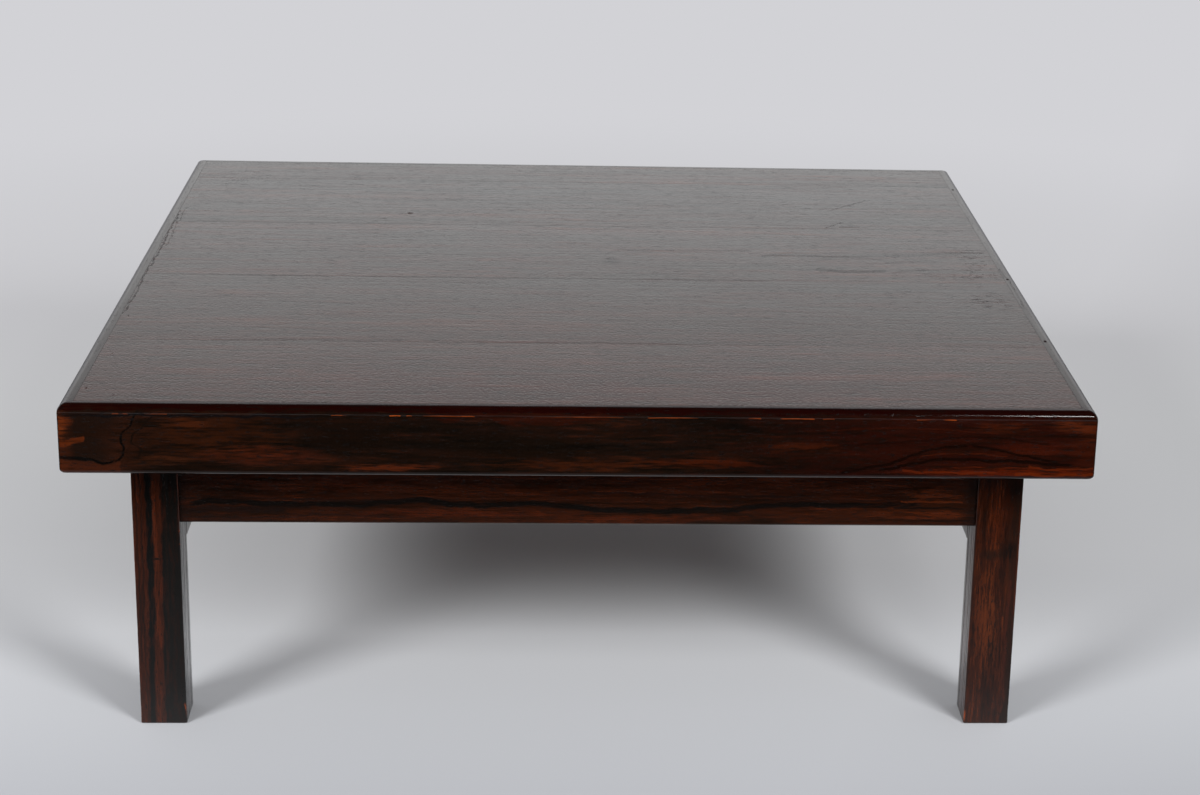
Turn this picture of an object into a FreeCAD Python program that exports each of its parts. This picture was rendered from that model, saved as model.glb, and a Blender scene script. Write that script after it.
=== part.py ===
import FreeCAD, Part
import os

from FreeCAD import Vector

# A low square table with a thick top on four square legs, in millimetres.
# X runs left to right, Y front to back and Z up. The origin lies on the floor under the middle.
# The top is a floor of edge-joined planks on a flat rim of rails, wrapped in mitred edge boards.
# Beams between the legs carry it, each with a tenon in the legs.

# Overall sizes
top_width = 920.0
top_depth = 950.0
table_height = 340.0
slab_height = 64.0

# Places of the legs under the top
side_overhang = 49.0
front_overhang = 75.0

# Legs
leg_width = 43.0
leg_depth = 44.0
leg_arris_radius = 1.6
leg_tenon_width = 22.0
leg_tenon_depth = 22.0
leg_tenon_gap = 0.6

# Wedges in the tops of the leg tenons
wedge_length = 20.0
wedge_head = 4.0
wedge_tip = 1.0

# Aprons between the legs
apron_recess = 4.0
front_apron_height = 75.0
side_apron_height = 103.0
apron_arris_radius = 1.6
apron_tenon_thickness = 12.0
apron_tenon_length = 28.0
apron_tenon_gap = 0.5
upper_tenon_shoulder = 12.0
upper_tenon_height = 37.0
lower_tenon_shoulder = 8.0
tenon_spacing = 6.0

# Edge boards round the top
edge_board_thickness = 13.0
top_edge_radius = 8.0
bottom_edge_radius = 4.5
corner_radius = 3.0

# Planks, with their widths from front to back as shares of the space inside the edge boards
plank_names = ("front_plank", "second_plank", "middle_plank", "fourth_plank", "back_plank")
plank_width_shares = (0.2, 0.25, 0.235, 0.225, 0.09)
plank_thickness = 20.0
tongue_thickness = 6.0
tongue_length = 5.0
tongue_gap = 0.4

# Rim rails under the edges of the planks
rim_tenon_thickness = 16.0
rim_tenon_width = 28.0
rim_tenon_length = 30.0
rim_tenon_offset = 6.0
rim_tenon_gap = 0.5

# Battens across the undersides of the planks, with a dovetailed ridge along the top
batten_place_shares = {"left_batten": -0.5, "middle_batten": 0.0, "right_batten": 0.5}
batten_width = 45.0
batten_height = 38.0
batten_tenon_thickness = 14.0
batten_tenon_width = 30.0
batten_tenon_length = 24.0
batten_tenon_gap = 0.5
ridge_height = 6.0
ridge_root_width = 20.0
ridge_top_width = 26.0

# Corner blocks inside the aprons
corner_block_side = 60.0
corner_block_drop = 7.0
corner_block_rise = 8.0

# Round pegs and pins
apron_peg_radius = 3.5
apron_peg_stop = 6.0
rim_peg_radius = 3.5
rim_peg_length = 34.0
batten_peg_radius = 3.0
batten_peg_length = 32.0
block_pin_radius = 1.5
block_pin_bite = 16.0
block_pin_place = 40.0
block_pin_level_shares = (0.25, 0.75)

# Slack between a tenon, tongue or ridge and the walls of its slot
joint_slack = 0.15

# How an edge is picked out: how near it lies to a plane, and how much of its box is its length
edge_tolerance = 0.01
straight_share = 0.9

# How far the middle of a quarter round lies along each axis, as a share of its radius
diagonal_share = 0.5 ** 0.5

# Planes that the pieces share
half_width = top_width / 2
half_depth = top_depth / 2
slab_bottom = table_height - slab_height
plank_bottom = table_height - plank_thickness
core_half_width = half_width - edge_board_thickness
core_half_depth = half_depth - edge_board_thickness
leg_outer_x = half_width - side_overhang
leg_outer_y = half_depth - front_overhang
leg_inner_x = leg_outer_x - leg_width
leg_inner_y = leg_outer_y - leg_depth
leg_middle_x = leg_outer_x - leg_width / 2
leg_middle_y = leg_outer_y - leg_depth / 2
front_apron_bottom = slab_bottom - front_apron_height
side_apron_bottom = slab_bottom - side_apron_height
front_apron_outer_y = leg_outer_y - apron_recess
side_apron_outer_x = leg_outer_x - apron_recess
front_apron_middle_y = (front_apron_outer_y + leg_inner_y) / 2
side_apron_middle_x = (side_apron_outer_x + leg_inner_x) / 2
upper_tenon_top = slab_bottom - upper_tenon_shoulder
upper_tenon_bottom = upper_tenon_top - upper_tenon_height
lower_tenon_top = upper_tenon_bottom - tenon_spacing
lower_tenon_bottom = side_apron_bottom + lower_tenon_shoulder
tongue_bottom = plank_bottom + (plank_thickness - tongue_thickness) / 2
tongue_top = tongue_bottom + tongue_thickness
batten_bottom = plank_bottom - batten_height
rim_middle_z = (slab_bottom + plank_bottom) / 2

SIDES = {"left": -1, "right": 1}
ENDS = {"front": -1, "back": 1}


def block(x_span, y_span, z_span):
    """A square block between two places along each axis, given in either order."""
    lows = [min(span) for span in (x_span, y_span, z_span)]
    sizes = [max(span) - min(span) for span in (x_span, y_span, z_span)]
    return Part.makeBox(*sizes, Vector(*lows))


def grown(span, slack):
    """The same span with slack added at both ends."""
    return (min(span) - slack, max(span) + slack)


def about(middle, size):
    """A span of the given size about a middle."""
    return (middle - size / 2, middle + size / 2)


def prism(points, travel):
    """A solid from a flat closed outline pushed along a vector."""
    outline = Part.makePolygon(points + points[:1])
    return Part.Face(outline).extrude(travel)


def rod(start, direction, radius, length):
    """A round rod from its start along a direction."""
    return Part.makeCylinder(radius, length, start, direction)


def rounded(solid, radius, chosen):
    """The solid with the edges that the test chooses rounded."""
    edges = [edge for edge in solid.Edges if chosen(edge)]
    return solid.makeFillet(radius, edges)


def along(edge, axis):
    """Whether a straight edge runs along an axis, given as 0, 1 or 2."""
    box = edge.BoundBox
    lengths = (box.XLength, box.YLength, box.ZLength)
    return lengths[axis] > straight_share * sum(lengths)


def level(edge, height):
    """Whether an edge lies flat at a height."""
    box = edge.BoundBox
    return box.ZLength < edge_tolerance and abs(box.ZMin - height) < edge_tolerance


def save(name, pieces):
    """One file for a node, whose pieces stay separate solids."""
    shape = pieces[0] if len(pieces) == 1 else Part.makeCompound(pieces)
    shape.exportStep("parts/" + name + ".step")


def quarter_round(place, side, middle, radius, up):
    """Quarter arc of the slab's edge about its middle, from its flat face to its upright face."""
    out, height = middle
    flat_end = place(side * out, height + up * radius)
    bend = place(side * (out + diagonal_share * radius), height + up * diagonal_share * radius)
    upright_end = place(side * (out + radius), height)
    return flat_end, upright_end, Part.Arc(flat_end, bend, upright_end).toShape()


def rounded_slab(reach, travel, place):
    """The slab's cross section, rounded above and below, pushed along its length."""
    high_middle = (reach - top_edge_radius, table_height - top_edge_radius)
    low_middle = (reach - bottom_edge_radius, slab_bottom + bottom_edge_radius)
    edges = []
    flat_ends = []
    for side in SIDES.values():
        high_flat, high_upright, high_arc = quarter_round(place, side, high_middle, top_edge_radius, 1)
        low_flat, low_upright, low_arc = quarter_round(place, side, low_middle, bottom_edge_radius, -1)
        edges += [high_arc, low_arc, Part.LineSegment(high_upright, low_upright).toShape()]
        flat_ends.append((high_flat, low_flat))
    for left_end, right_end in zip(*flat_ends):
        edges.append(Part.LineSegment(left_end, right_end).toShape())
    outline = Part.Wire(Part.__sortEdges__(edges))
    return Part.Face(outline).extrude(travel)


def slab_form():
    """Outer form of the whole top, where the rounded edges meet in a mitre at each corner."""
    lengthwise = rounded_slab(half_width, Vector(0, top_depth, 0),
                              lambda out, up: Vector(out, -half_depth, up))
    crosswise = rounded_slab(half_depth, Vector(top_width, 0, 0),
                             lambda out, up: Vector(-half_width, out, up))
    plan = block((-half_width, half_width), (-half_depth, half_depth), (slab_bottom, table_height))
    plan = rounded(plan, corner_radius, lambda edge: along(edge, 2))
    return lengthwise.common(crosswise).common(plan)


def tongue_plate(reach, slack):
    """A plate as thick as the tongues, standing out of the core by a reach on all sides."""
    return block(grown((-core_half_width, core_half_width), reach),
                 grown((-core_half_depth, core_half_depth), reach),
                 grown((tongue_bottom, tongue_top), slack))


def edge_boards():
    """Four boards mitred round the top, grooved inside for the tongues of the planks.

    The mitre cuts run on past the boards' inner faces.
    """
    core = block((-core_half_width, core_half_width), (-core_half_depth, core_half_depth),
                 (slab_bottom, table_height))
    ring = slab_form().cut(core).cut(tongue_plate(tongue_length + tongue_gap, joint_slack))
    inner_x = core_half_width - edge_board_thickness
    inner_y = core_half_depth - edge_board_thickness
    rise = Vector(0, 0, slab_height)
    for name, side in SIDES.items():
        corners = [Vector(side * half_width, -half_depth, slab_bottom),
                   Vector(side * half_width, half_depth, slab_bottom),
                   Vector(side * inner_x, inner_y, slab_bottom),
                   Vector(side * inner_x, -inner_y, slab_bottom)]
        save(name + "_edge_board", [ring.common(prism(corners, rise))])
    for name, end in ENDS.items():
        corners = [Vector(-half_width, end * half_depth, slab_bottom),
                   Vector(half_width, end * half_depth, slab_bottom),
                   Vector(inner_x, end * inner_y, slab_bottom),
                   Vector(-inner_x, end * inner_y, slab_bottom)]
        save(name + "_edge_board", [ring.common(prism(corners, rise))])


def batten_x(share):
    """Place of a batten across the space between the side rails."""
    return share * leg_inner_x


def ridge(share, slack, y_span):
    """The dovetailed ridge of a batten, or its slot in the planks when it has slack."""
    middle = batten_x(share)
    root = ridge_root_width / 2 + slack
    crest = ridge_top_width / 2 + slack
    corners = [Vector(middle - root, y_span[0], plank_bottom),
               Vector(middle + root, y_span[0], plank_bottom),
               Vector(middle + crest, y_span[0], plank_bottom + ridge_height + slack),
               Vector(middle - crest, y_span[0], plank_bottom + ridge_height + slack)]
    return prism(corners, Vector(0, y_span[1] - y_span[0], 0))


def planks():
    """Five planks side by side, each with a tongue at its back edge and at both ends."""
    core_depth = 2 * core_half_depth
    front = -core_half_depth
    slots = [ridge(share, joint_slack, grown((-core_half_depth, core_half_depth), tongue_length))
             for share in batten_place_shares.values()]
    for name, share in zip(plank_names, plank_width_shares):
        back = front + share * core_depth
        body = block((-core_half_width, core_half_width), (front, back), (plank_bottom, table_height))
        ends = block(grown((-core_half_width, core_half_width), tongue_length), (front, back),
                     (tongue_bottom, tongue_top))
        tongue = block((-core_half_width, core_half_width), (back, back + tongue_length),
                       (tongue_bottom, tongue_top))
        plank = body.fuse([ends, tongue])
        if name == plank_names[0]:
            lip = block((-core_half_width, core_half_width), (front - tongue_length, front),
                        (tongue_bottom, tongue_top))
            plank = plank.fuse(lip)
        else:
            groove = block(grown((-core_half_width, core_half_width), tongue_length + tongue_gap),
                           (front, front + tongue_length + tongue_gap),
                           grown((tongue_bottom, tongue_top), joint_slack))
            plank = plank.cut(groove)
        save(name, [plank.cut(Part.makeCompound(slots)).removeSplitter()])
        front = back


def rim_tenon(side, end, gap, slack):
    """Stub tenon at one end of a side rail, or its mortise in the front or back rail."""
    outer_x = core_half_width - rim_tenon_offset
    return block(grown((side * outer_x, side * (outer_x - rim_tenon_width)), slack),
                 (end * leg_inner_y, end * (leg_inner_y + rim_tenon_length + gap)),
                 grown(about(rim_middle_z, rim_tenon_thickness), slack))


def leg_tenon(side, end, slack):
    """Tenon on top of a leg, or its mortise through the rim rail."""
    top = plank_bottom if slack else plank_bottom - leg_tenon_gap
    return block(grown(about(side * leg_middle_x, leg_tenon_width), slack),
                 grown(about(end * leg_middle_y, leg_tenon_depth), slack), (slab_bottom, top))


def batten_tenon(share, end, gap, slack):
    """Tenon at one end of a batten, or its mortise in the front or back rail."""
    middle_z = batten_bottom + batten_height / 2
    return block(grown(about(batten_x(share), batten_tenon_width), slack),
                 (end * leg_inner_y, end * (leg_inner_y + batten_tenon_length + gap)),
                 grown(about(middle_z, batten_tenon_thickness), slack))


def rim_peg(side, end):
    """Upright peg through the stub tenon of a side rail, driven from below."""
    x = side * (core_half_width - rim_tenon_offset - rim_tenon_width / 2)
    y = end * (leg_inner_y + rim_tenon_length / 2)
    return rod(Vector(x, y, slab_bottom), Vector(0, 0, 1), rim_peg_radius, rim_peg_length)


def batten_peg(share, end):
    """Upright peg through the tenon of a batten, driven from below."""
    start = Vector(batten_x(share), end * (leg_inner_y + batten_tenon_length / 2), slab_bottom)
    return rod(start, Vector(0, 0, 1), batten_peg_radius, batten_peg_length)


def rim_rails():
    """Four rails laid flat under the edges of the planks. The front and back ones run full width."""
    for name, end in ENDS.items():
        rail = block((-core_half_width, core_half_width), (end * leg_inner_y, end * core_half_depth),
                     (slab_bottom, plank_bottom))
        for side in SIDES.values():
            rail = rail.cut([rim_tenon(side, end, rim_tenon_gap, joint_slack),
                             leg_tenon(side, end, joint_slack), rim_peg(side, end)])
        for share in batten_place_shares.values():
            rail = rail.cut([batten_tenon(share, end, batten_tenon_gap, joint_slack),
                             batten_peg(share, end)])
        save(name + "_rim_rail", [rail])
    for name, side in SIDES.items():
        rail = block((side * leg_inner_x, side * core_half_width), (-leg_inner_y, leg_inner_y),
                     (slab_bottom, plank_bottom))
        for end in ENDS.values():
            rail = rail.fuse(rim_tenon(side, end, 0, 0)).cut(rim_peg(side, end))
        save(name + "_rim_rail", [rail.removeSplitter()])


def battens():
    """Three battens under the planks, each with a ridge along its top and a tenon at both ends."""
    for name, share in batten_place_shares.items():
        batten = block(about(batten_x(share), batten_width), (-leg_inner_y, leg_inner_y),
                       (batten_bottom, plank_bottom))
        batten = batten.fuse(ridge(share, 0, (-leg_inner_y, leg_inner_y)))
        for end in ENDS.values():
            batten = batten.fuse(batten_tenon(share, end, 0, 0))
            batten = batten.cut(batten_peg(share, end))
        save(name, [batten.removeSplitter()])


def upper_tenon(side, end, gap, slack):
    """Tenon at one end of the front or back apron, high in the leg, or its mortise."""
    return block((side * leg_inner_x, side * (leg_inner_x + apron_tenon_length + gap)),
                 grown(about(end * front_apron_middle_y, apron_tenon_thickness), slack),
                 grown((upper_tenon_bottom, upper_tenon_top), slack))


def lower_tenon(side, end, gap, slack):
    """Tenon at one end of a side apron, low in the leg so that it passes under the upper one."""
    return block(grown(about(side * side_apron_middle_x, apron_tenon_thickness), slack),
                 (end * leg_inner_y, end * (leg_inner_y + apron_tenon_length + gap)),
                 grown((lower_tenon_bottom, lower_tenon_top), slack))


def apron_peg(side, end):
    """Peg driven in from the outer side of a leg, through the tenon of the side apron.

    It stops short of the leg's inner side.
    """
    start = Vector(side * leg_outer_x, end * (leg_inner_y + apron_tenon_length / 2),
                   (lower_tenon_bottom + lower_tenon_top) / 2)
    return rod(start, Vector(-side, 0, 0), apron_peg_radius, leg_width - apron_peg_stop)


def wedge(side, end):
    """Flat wedge driven down into the top of a leg tenon, which spreads it in its mortise."""
    x, y = side * leg_middle_x, end * (leg_middle_y - leg_tenon_depth / 2)
    top = plank_bottom - leg_tenon_gap
    corners = [Vector(x - wedge_head / 2, y, top), Vector(x + wedge_head / 2, y, top),
               Vector(x + wedge_tip / 2, y, top - wedge_length),
               Vector(x - wedge_tip / 2, y, top - wedge_length)]
    return prism(corners, Vector(0, end * leg_tenon_depth, 0))


def legs():
    """Four square legs with softened arrises, mortised for the aprons and tenoned into the rim."""
    for end_name, end in ENDS.items():
        for side_name, side in SIDES.items():
            leg = block((side * leg_inner_x, side * leg_outer_x), (end * leg_inner_y, end * leg_outer_y),
                        (0, slab_bottom))
            leg = rounded(leg, leg_arris_radius, lambda edge: along(edge, 2) or level(edge, 0))
            leg = leg.fuse(leg_tenon(side, end, 0))
            leg = leg.cut([upper_tenon(side, end, apron_tenon_gap, joint_slack),
                           lower_tenon(side, end, apron_tenon_gap, joint_slack),
                           apron_peg(side, end), wedge(side, end)])
            save(end_name + "_" + side_name + "_leg", [leg])


def aprons():
    """Four beams between the legs, flush with them inside and set back a little outside."""
    for name, end in ENDS.items():
        apron = block((-leg_inner_x, leg_inner_x), (end * leg_inner_y, end * front_apron_outer_y),
                      (front_apron_bottom, slab_bottom))
        apron = rounded(apron, apron_arris_radius,
                        lambda edge: along(edge, 0) and level(edge, front_apron_bottom))
        for side in SIDES.values():
            apron = apron.fuse(upper_tenon(side, end, 0, 0))
        save(name + "_apron", [apron.cut(Part.makeCompound(block_pins()))])
    for name, side in SIDES.items():
        apron = block((side * leg_inner_x, side * side_apron_outer_x), (-leg_inner_y, leg_inner_y),
                      (side_apron_bottom, slab_bottom))
        apron = rounded(apron, apron_arris_radius,
                        lambda edge: along(edge, 1) and level(edge, side_apron_bottom))
        for end in ENDS.values():
            apron = apron.fuse(lower_tenon(side, end, 0, 0)).cut(apron_peg(side, end))
        save(name + "_apron", [apron.cut(Part.makeCompound(block_pins()))])


def corner_block(side, end):
    """Three-cornered block glued and pinned into the corner between two aprons."""
    low = front_apron_bottom + corner_block_rise
    high = slab_bottom - corner_block_drop
    corners = [Vector(side * leg_inner_x, end * leg_inner_y, low),
               Vector(side * (leg_inner_x - corner_block_side), end * leg_inner_y, low),
               Vector(side * leg_inner_x, end * (leg_inner_y - corner_block_side), low)]
    return prism(corners, Vector(0, 0, high - low))


def pin_zone(side, end):
    """Room that the pins may fill: the corner block, carried on into the aprons behind its face."""
    corners = [Vector(side * (leg_inner_x + block_pin_bite), end * (leg_inner_y + block_pin_bite), 0),
               Vector(side * (leg_inner_x - corner_block_side - block_pin_bite),
                      end * (leg_inner_y + block_pin_bite), 0),
               Vector(side * (leg_inner_x + block_pin_bite),
                      end * (leg_inner_y - corner_block_side - block_pin_bite), 0)]
    return prism(corners, Vector(0, 0, table_height))


def block_pins():
    """Pins through the corner blocks, two into each apron, with heads flush with the blocks."""
    low = front_apron_bottom + corner_block_rise
    height = slab_bottom - corner_block_drop - low
    pins = []
    for end in ENDS.values():
        for side in SIDES.values():
            zone = pin_zone(side, end)
            far_x = side * (leg_inner_x + block_pin_bite)
            far_y = end * (leg_inner_y + block_pin_bite)
            length = corner_block_side + block_pin_bite
            for share in block_pin_level_shares:
                z = low + share * height
                into_front = rod(Vector(side * (leg_inner_x - block_pin_place), far_y, z),
                                 Vector(0, -end, 0), block_pin_radius, length)
                into_side = rod(Vector(far_x, end * (leg_inner_y - block_pin_place), z),
                                Vector(-side, 0, 0), block_pin_radius, length)
                pins += [into_front.common(zone), into_side.common(zone)]
    return pins


def corner_blocks():
    """The four corner blocks, bored for their pins."""
    bores = Part.makeCompound(block_pins())
    for end_name, end in ENDS.items():
        for side_name, side in SIDES.items():
            save(end_name + "_" + side_name + "_corner_block", [corner_block(side, end).cut(bores)])


def fasteners():
    """Groups of like pegs, wedges and pins, each one a separate solid."""
    corners = [(side, end) for end in ENDS.values() for side in SIDES.values()]
    save("apron_pegs", [apron_peg(side, end) for side, end in corners])
    save("leg_wedges", [wedge(side, end) for side, end in corners])
    save("rim_pegs", [rim_peg(side, end) for side, end in corners])
    save("batten_pegs", [batten_peg(share, end)
                         for share in batten_place_shares.values() for end in ENDS.values()])
    save("corner_block_pins", block_pins())


os.makedirs("parts", exist_ok=True)
edge_boards()
planks()
rim_rails()
battens()
legs()
aprons()
corner_blocks()
fasteners()
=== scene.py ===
import math

import bmesh
import bpy
from mathutils import Matrix, Vector


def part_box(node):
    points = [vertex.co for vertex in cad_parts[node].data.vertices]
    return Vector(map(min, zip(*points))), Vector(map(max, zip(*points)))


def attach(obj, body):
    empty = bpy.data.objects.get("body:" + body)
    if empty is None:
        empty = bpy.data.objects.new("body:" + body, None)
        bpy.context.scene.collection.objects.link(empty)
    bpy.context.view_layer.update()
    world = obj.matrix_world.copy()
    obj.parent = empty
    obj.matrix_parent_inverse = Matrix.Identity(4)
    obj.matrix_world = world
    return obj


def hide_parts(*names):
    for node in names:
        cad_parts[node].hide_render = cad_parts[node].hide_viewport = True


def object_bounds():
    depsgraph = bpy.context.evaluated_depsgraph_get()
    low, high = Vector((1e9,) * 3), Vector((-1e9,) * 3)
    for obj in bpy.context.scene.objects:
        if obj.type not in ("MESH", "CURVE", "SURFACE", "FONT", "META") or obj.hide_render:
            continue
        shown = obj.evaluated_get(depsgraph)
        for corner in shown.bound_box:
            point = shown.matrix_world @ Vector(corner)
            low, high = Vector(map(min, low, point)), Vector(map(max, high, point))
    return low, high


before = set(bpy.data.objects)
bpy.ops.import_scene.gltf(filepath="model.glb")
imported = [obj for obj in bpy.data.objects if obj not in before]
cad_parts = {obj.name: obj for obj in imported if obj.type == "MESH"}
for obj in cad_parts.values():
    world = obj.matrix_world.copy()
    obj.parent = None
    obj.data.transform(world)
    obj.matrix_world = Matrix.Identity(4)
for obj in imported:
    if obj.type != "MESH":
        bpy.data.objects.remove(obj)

cad_low, cad_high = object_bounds()

# Legs. Four square posts of a dense striped hardwood, planed square, with arrises rounded by hand and worn
# since. Each is one piece, with a tenon on top for the rim of the table top and two mortises for the
# aprons. They were stained dark and lacquered with the rest of the table.

mm = 0.001
across_x = Vector((1, 0, 0))
across_y = Vector((0, 1, 0))
up = Vector((0, 0, 1))
leg_low, leg_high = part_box("front_left_leg")
slab_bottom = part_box("front_rim_rail")[0].z
leg_middle = (leg_low + leg_high) / 2
leg_arris = 1.6 * mm
leg_tenon = 22 * mm
tenon_thickness = 12 * mm
mortise_depth = 28.5 * mm
joint_slack = 0.15 * mm
upper_tenon_levels = (227 * mm, 264 * mm)
lower_tenon_levels = (181 * mm, 221 * mm)
arris_zone = 1.7 * mm
wear_step = 6 * mm
wear_depth = 0.35 * mm
wear_size = 14 * mm
smooth_angle = math.radians(32)
merge_reach = 0.001 * mm
# The least share of a face's normal along an axis at which it counts as facing that way
facing = 0.9


def start_block(name, low, high):
    """A block between two corners, in edit mode, with its object at the origin."""
    bpy.ops.object.select_all(action="DESELECT")
    low, high = Vector(low), Vector(high)
    bpy.ops.mesh.primitive_cube_add(size=1, location=(low + high) / 2, scale=high - low)
    bpy.ops.object.transform_apply(location=True, rotation=True, scale=True)
    piece = bpy.context.object
    piece.name = name
    piece.data.name = name
    bpy.ops.object.mode_set(mode="EDIT")
    return piece


def pick_faces(test):
    """Selects the faces whose middle and normal pass a test."""
    bpy.ops.mesh.select_mode(type="FACE")
    bpy.ops.mesh.select_all(action="DESELECT")
    mesh = bpy.context.object.data
    for face in bmesh.from_edit_mesh(mesh).faces:
        face.select_set(test(face.calc_center_median(), face.normal))
    bmesh.update_edit_mesh(mesh)


def pick_edges(test):
    """Selects the edges whose two ends pass a test."""
    bpy.ops.mesh.select_mode(type="EDGE")
    bpy.ops.mesh.select_all(action="DESELECT")
    mesh = bpy.context.object.data
    for edge in bmesh.from_edit_mesh(mesh).edges:
        edge.select_set(test(edge.verts[0].co, edge.verts[1].co))
    bmesh.update_edit_mesh(mesh)


def score(axis, places):
    """Cuts a line of edges round the piece at each place along an axis."""
    for place in places:
        bpy.ops.mesh.select_all(action="SELECT")
        bpy.ops.mesh.bisect(plane_co=axis * place, plane_no=axis)


def pull(travel):
    """Extrudes the selected faces along a vector."""
    bpy.ops.mesh.extrude_region_move(TRANSFORM_OT_translate={"value": travel})


def between(value, span):
    """Whether a place lies within a span, given in either order."""
    return min(span) < value < max(span)


def steps(span, step):
    """Places about a step apart between the two ends of a span."""
    count = max(2, round((span[1] - span[0]) / step))
    return [span[0] + (span[1] - span[0]) * i / count for i in range(1, count)]


def merged_copy(node):
    """A copy of a CAD node with its loose triangles merged, to cut holes that fit that node."""
    bpy.ops.object.select_all(action="DESELECT")
    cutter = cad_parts[node].copy()
    cutter.data = cutter.data.copy()
    cutter.parent = None
    bpy.context.scene.collection.objects.link(cutter)
    bpy.context.view_layer.objects.active = cutter
    cutter.select_set(True)
    bpy.ops.object.mode_set(mode="EDIT")
    bpy.ops.mesh.select_all(action="SELECT")
    bpy.ops.mesh.remove_doubles(threshold=merge_reach)
    bpy.ops.object.mode_set(mode="OBJECT")
    return cutter


def only(piece):
    """Makes a piece the one that the operators act on."""
    bpy.ops.object.select_all(action="DESELECT")
    bpy.context.view_layer.objects.active = piece
    piece.select_set(True)


def carve(piece, cutter):
    """Cuts a cutter's form out of a piece, and takes the cutter away."""
    only(piece)
    bpy.ops.object.modifier_add(type="BOOLEAN")
    cut = piece.modifiers[-1]
    cut.object = cutter
    cut.operation = "DIFFERENCE"
    cut.solver = "EXACT"
    bpy.ops.object.modifier_apply(modifier=cut.name)
    bpy.data.objects.remove(cutter)


def mirrored_copy(piece, name, signs):
    """A copy with its own mesh, mirrored on the axes that have a negative sign."""
    twin = piece.copy()
    twin.data = piece.data.copy()
    twin.name = name
    twin.data.name = name
    bpy.context.scene.collection.objects.link(twin)
    twin.data.transform(Matrix.Diagonal((*signs, 1)))
    only(twin)
    bpy.ops.object.mode_set(mode="EDIT")
    bpy.ops.mesh.select_all(action="SELECT")
    bpy.ops.mesh.normals_make_consistent(inside=False)
    bpy.ops.object.mode_set(mode="OBJECT")
    return twin


def wear(piece, depth, size, group=""):
    """Wears the surface unevenly, only inwards, over hollows of about a size."""
    only(piece)
    hollows = bpy.data.textures.new(piece.name + "_wear", "CLOUDS")
    hollows.noise_scale = size
    hollows.noise_depth = 2
    bpy.ops.object.modifier_add(type="DISPLACE")
    worn = piece.modifiers[-1]
    worn.texture = hollows
    worn.texture_coords = "LOCAL"
    worn.strength = depth
    worn.mid_level = 1
    worn.vertex_group = group
    bpy.ops.object.modifier_apply(modifier=worn.name)


def finish_piece(piece, node, wood):
    """Shades a piece, sets its wood, and puts it in the place of its CAD node."""
    only(piece)
    bpy.ops.object.shade_smooth_by_angle(angle=smooth_angle)
    bpy.ops.object.modifier_add(type="WEIGHTED_NORMAL")
    piece.modifiers[-1].keep_sharp = True
    bpy.ops.object.modifier_apply(modifier=piece.modifiers[-1].name)
    piece.data.materials.clear()
    piece.data.materials.append(wood)
    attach(piece, "root")
    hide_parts(node)


def linear(colour):
    """A six-digit hex colour in sRGB as linear red, green, blue and alpha."""
    parts = [int(colour[i:i + 2], 16) / 255 for i in (0, 2, 4)]
    return (*[c / 12.92 if c <= 0.04045 else ((c + 0.055) / 1.055) ** 2.4 for c in parts], 1)


def add(tree, kind, inputs=(), stops=None, curve=None, **settings):
    """Adds a shader node, and sets or links its inputs, which are given in order or by name.

    The kind can be followed by the node's operation, as in "Math ADD". Stops are the places and
    colours of a colour ramp, and a curve is drawn through its points. The inputs of a "MapRange"
    are a value, the range that it comes from and the range that it goes to, 0 to 1 if left out.
    """
    kind, *operation = kind.split()
    made = tree.nodes.new("ShaderNode" + kind)
    if operation:
        made.operation = operation[0]
    for name, value in settings.items():
        setattr(made, name, value)
    if stops:
        elements = made.color_ramp.elements
        while len(elements) < len(stops):
            elements.new(1)
        for element, (place, colour) in zip(elements, stops):
            element.position = place
            element.color = linear(colour)
    if curve:
        points = made.mapping.curves[0].points
        while len(points) < len(curve):
            points.new(0.5, 0.5)
        for point, place in zip(points, curve):
            point.location = place
            point.handle_type = "AUTO_CLAMPED"
        made.mapping.update()
    named = inputs if isinstance(inputs, dict) else dict(enumerate(inputs))
    for socket, value in named.items():
        if isinstance(value, bpy.types.Node):
            value = value.outputs[0]
        if isinstance(value, bpy.types.NodeSocket):
            tree.links.new(value, made.inputs[socket])
        else:
            made.inputs[socket].default_value = value
    return made


def fibre_noise(tree, laid, length, width, detail=2.0):
    """Noise drawn out along the grain, which runs along X: how long and how wide its marks are."""
    drawn = add(tree, "Mapping", {"Vector": laid, "Scale": (1 / length, 1 / width, 1 / width)})
    return add(tree, "TexNoise", {"Vector": drawn, "Scale": 1.0, "Detail": detail, "Roughness": 0.55})


def feathered(tree, mask, feather, low, high):
    """A mask broken up along the grain, so that a mark ends in fibres and not in an outline."""
    uneven = add(tree, "Math ADD", (feather, 0.5))
    broken = add(tree, "Math MULTIPLY", (mask, uneven))
    return add(tree, "MapRange", (broken, low, high))


# The shapes of drawn marks. The field that they are drawn on holds the place on the piece, bent a
# little as the grain wanders, the same place as three numbers, and the feather of the fibres.


def oval(tree, field, middle, reach):
    """A soft oval spot, in millimetres: full in its middle, and nothing at its reach."""
    bent, _, feather = field
    from_middle = add(tree, "VectorMath SUBTRACT", (bent, [v * mm for v in middle]))
    shares = add(tree, "VectorMath MULTIPLY", (from_middle, [1 / (r * mm) for r in reach]))
    away = add(tree, "VectorMath LENGTH", (shares,)).outputs["Value"]
    mask = add(tree, "MapRange", (away, 1.0, 0.0), interpolation_type="SMOOTHSTEP")
    return feathered(tree, mask, feather, 0.25, 1.05)


def rising(tree, field, axis, nothing, full):
    """A share that rises along an axis, from nothing at one place to full at another."""
    _, axes, feather = field
    mask = add(tree, "MapRange", (axes.outputs[axis], nothing * mm, full * mm))
    return feathered(tree, mask, feather, 0.1, 1.1)


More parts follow.
